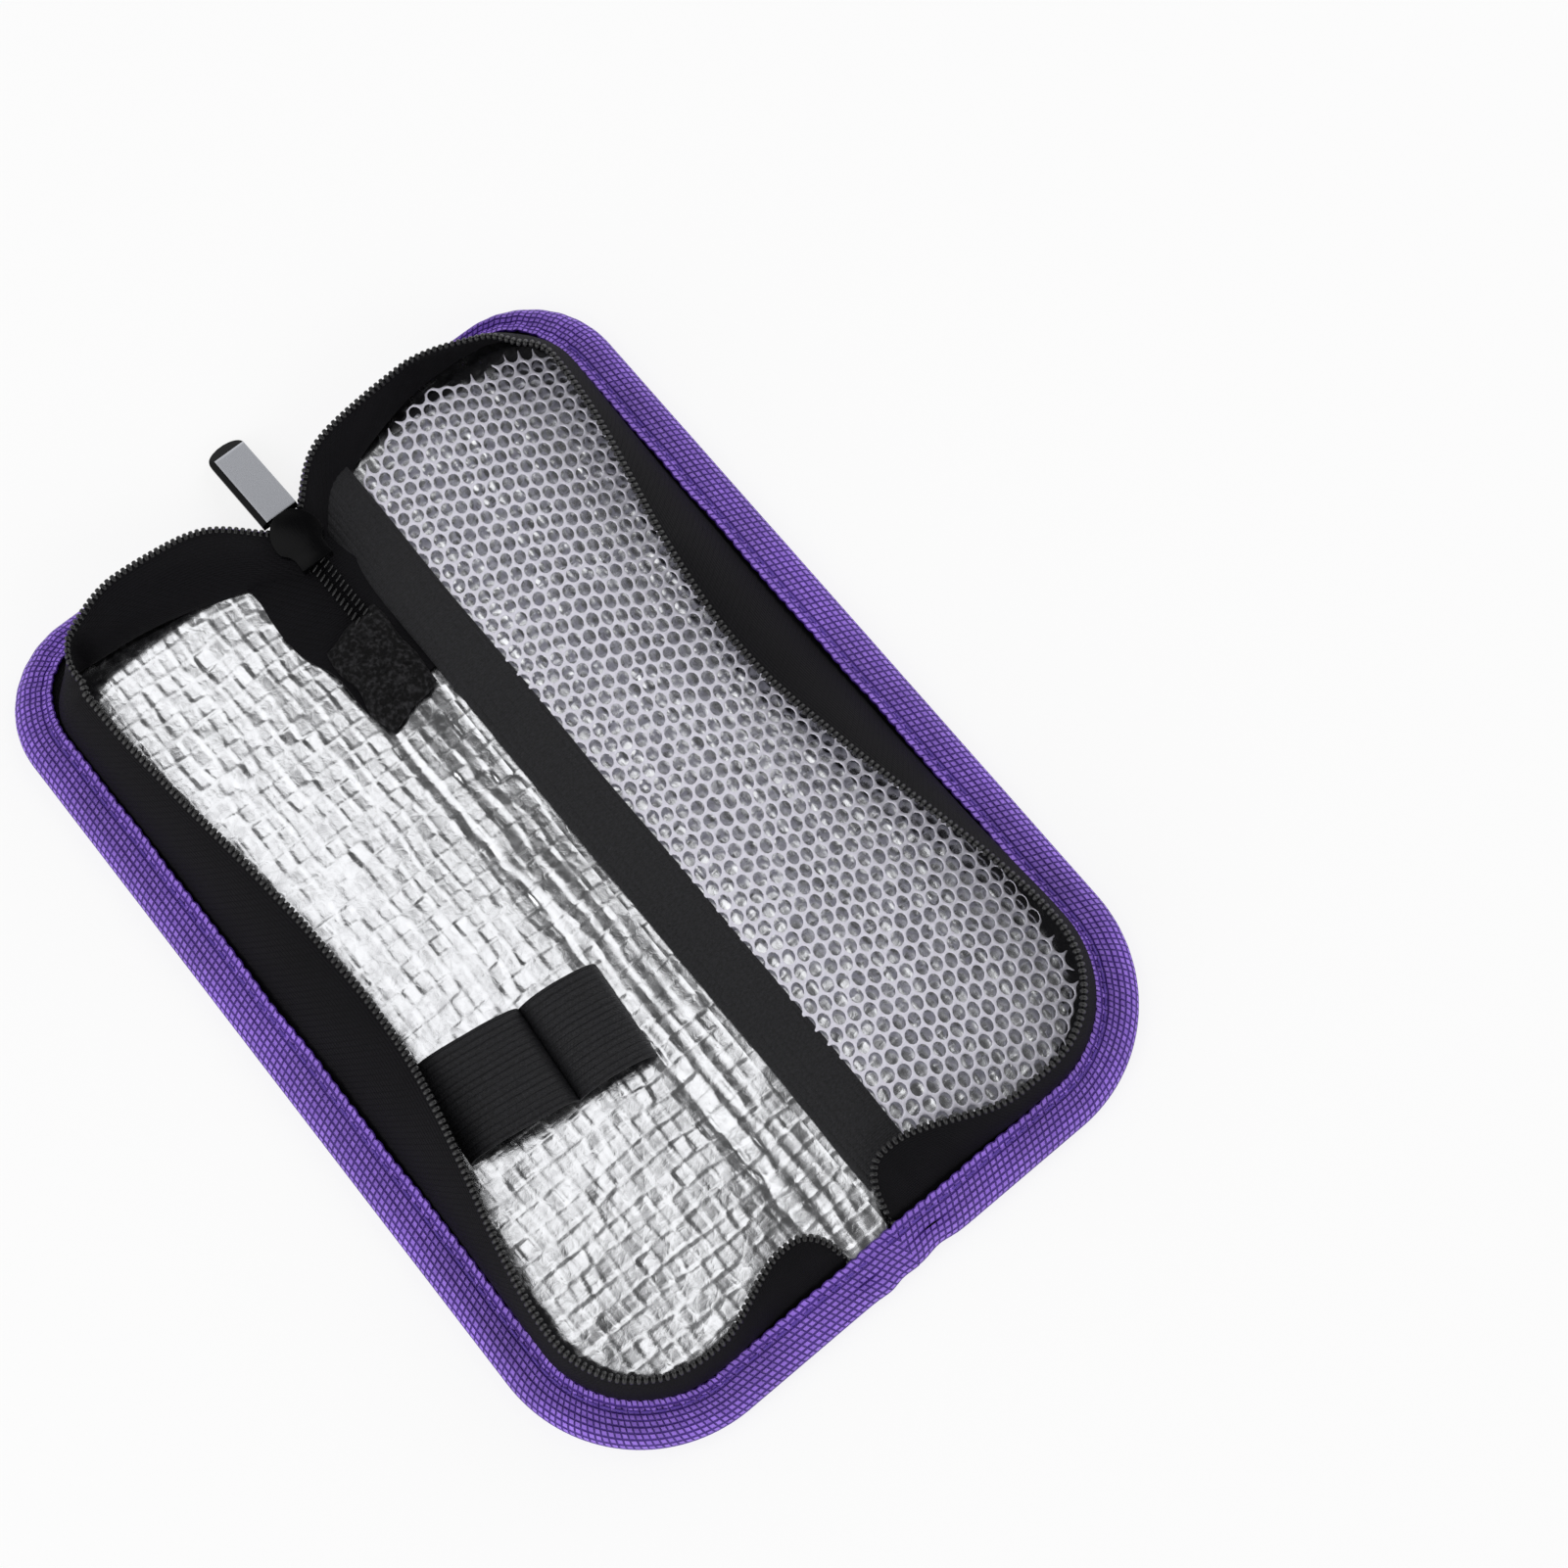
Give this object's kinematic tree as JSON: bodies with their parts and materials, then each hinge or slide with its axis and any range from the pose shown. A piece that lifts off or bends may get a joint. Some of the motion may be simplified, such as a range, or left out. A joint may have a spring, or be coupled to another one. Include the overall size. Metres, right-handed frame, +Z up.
{
  "type": "insulin cooling case",
  "caption": "Soft zip-round cooling case for insulin pens, lying open: foil-lined padded halves on a spine, with elastic pen loops, a net pocket, bound edges and a zip with a pull tab.",
  "frame": {"origin": "middle of the spine's underside, on the surface the open case lies on", "axes": "+X across the case towards the half with the net pocket, +Y along the spine towards the pull tab, +Z up out of the open case"},
  "size_m": [0.1366, 0.2052, 0.0159],
  "materials": {
    "oxford_cloth": "matt woven purple polyester with a coated back",
    "foam": "closed-cell insulating foam, hidden",
    "foil": "bright aluminised film over a woven scrim",
    "binding_tape": "satin woven purple polyester tape",
    "zip_tape": "matt black woven tape",
    "zip_teeth": "black nylon coil",
    "elastic": "black ribbed elastic",
    "net": "pale knitted nylon net",
    "slider_metal": "dark gunmetal plating over die-cast zinc"
  },
  "bodies": {
    "base": {"base_cover": "oxford_cloth", "base_foam": "foam", "base_foil": "foil", "base_binding": "binding_tape", "base_zip_tape": "zip_tape", "base_zip_teeth": "zip_teeth", "pen_loop_band": "elastic"},
    "spine": {"spine_cover": "oxford_cloth", "spine_foam": "foam", "spine_foil": "foil", "spine_binding_near": "binding_tape", "spine_binding_far": "binding_tape", "pocket_ribbon": "elastic", "zip_end_tab": "zip_tape", "zip_tail_tape": "zip_tape", "zip_tail_chain": "zip_teeth"},
    "lid": {"lid_cover": "oxford_cloth", "lid_foam": "foam", "lid_foil": "foil", "lid_binding": "binding_tape", "lid_zip_tape": "zip_tape", "lid_zip_teeth": "zip_teeth", "net_pocket": "net"},
    "slider": {"zip_slider": "slider_metal"},
    "pull_tab": {"pull_tab": "slider_metal"}
  },
  "joints": [
    {"name": "spine_fold", "type": "hinge", "parent": "base", "child": "spine", "pos_m": [-0.0085, 0, 0.0042], "axis": [0, -1, 0], "range_deg": [0, 85.5]},
    {"name": "lid_fold", "type": "hinge", "parent": "spine", "child": "lid", "pos_m": [0.0085, 0, 0.0042], "axis": [0, -1, 0], "range_deg": [0, 85.5]},
    {"name": "slider_run", "type": "slide", "parent": "spine", "child": "slider", "axis": [0, 0.9965, 0.0837], "range_m": [0, 0.008]},
    {"name": "pull_tab_swing", "type": "hinge", "parent": "slider", "child": "pull_tab", "pos_m": [-0.0036, 0.08709, 0.00726], "axis": [1, 0, 0], "range_deg": [0, 55]}
  ],
  "couplings": [
    {"joint": "lid_fold", "follows": "spine_fold", "ratio": 1}
  ]
}
